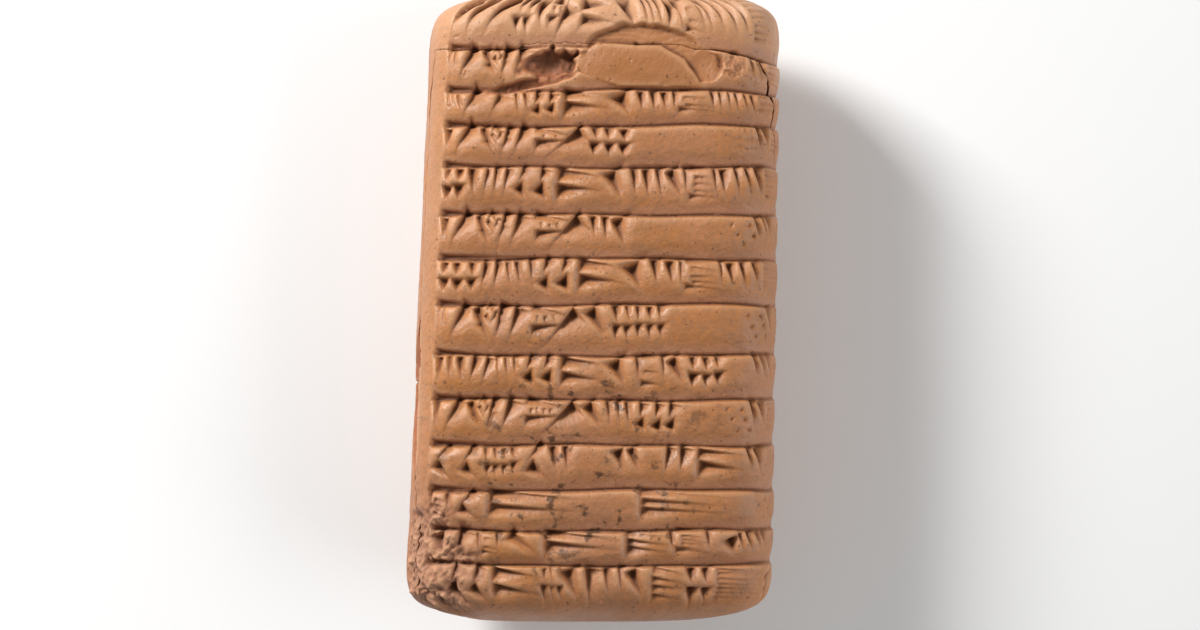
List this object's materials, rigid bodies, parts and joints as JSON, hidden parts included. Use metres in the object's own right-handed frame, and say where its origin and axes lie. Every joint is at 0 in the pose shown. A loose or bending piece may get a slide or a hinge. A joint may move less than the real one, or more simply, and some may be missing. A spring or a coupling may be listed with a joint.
{
  "type": "cuneiform tablet",
  "caption": "Cushion-shaped fired clay tablet with ruled rows of impressed wedges on both faces and over the right edge, broken and rejoined.",
  "frame": {"origin": "on the surface the tablet lies on, under the middle of its box", "axes": "lies on its reverse: +Z out of the obverse, +Y towards the head of the text, +X towards the right-hand edge"},
  "size_m": [0.057, 0.097, 0.0297],
  "materials": {
    "clay": "matt fired clay, tan with ochre streaks, smooth where handled and rough in the breaks"
  },
  "bodies": {
    "root": {"tablet": "clay"}
  },
  "joints": []
}
